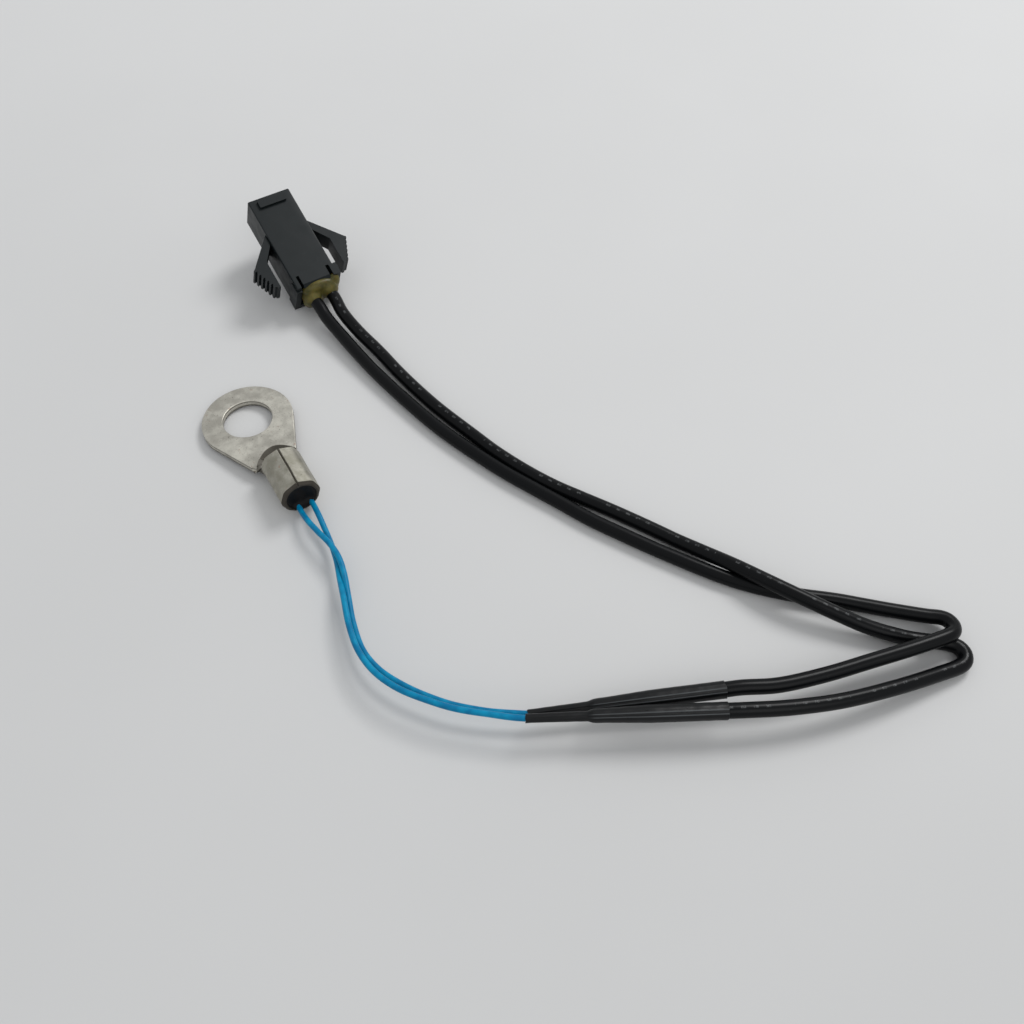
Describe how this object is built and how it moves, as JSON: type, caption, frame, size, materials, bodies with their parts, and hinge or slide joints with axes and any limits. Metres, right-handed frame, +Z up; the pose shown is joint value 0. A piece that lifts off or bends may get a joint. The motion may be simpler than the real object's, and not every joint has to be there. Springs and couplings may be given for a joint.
{
  "type": "bead thermistor",
  "caption": "Ring-lug temperature sensor with thin blue leads, sleeved splices, and black leads running to a small latching wire plug.",
  "frame": {"origin": "on the surface the part lies on, under the middle of the sensor head (the ring terminal with its potted bead)", "axes": "+X along the ring terminal from the barrel to the ring, +Z up from the surface"},
  "size_m": [0.1052, 0.0655, 0.0112],
  "materials": {
    "tinned_copper": "dull tin plating",
    "potting": "black epoxy",
    "bead_coating": "glossy coating",
    "leg_wire": "tinned wire",
    "blue_insulation": "semi-gloss",
    "solder": "solder",
    "heatshrink": "satin",
    "black_insulation": "semi-gloss",
    "black_plastic": "satin moulding",
    "tinned_brass": "tin plating",
    "amber_glue": "cured glue"
  },
  "bodies": {
    "root": {"ring_terminal": "tinned_copper", "barrel_potting": "potting", "thermistor_bead": "bead_coating", "bead_leg_a": "leg_wire", "bead_leg_b": "leg_wire", "blue_lead_a": "blue_insulation", "blue_lead_b": "blue_insulation", "splice_joint_a": "solder", "splice_joint_b": "solder", "heatshrink_sleeve_a": "heatshrink", "heatshrink_sleeve_b": "heatshrink", "black_lead_a": "black_insulation", "black_lead_b": "black_insulation", "plug_housing": "black_plastic", "socket_contact_a": "tinned_brass", "socket_contact_b": "tinned_brass", "wire_end_glue": "amber_glue"}
  },
  "joints": []
}
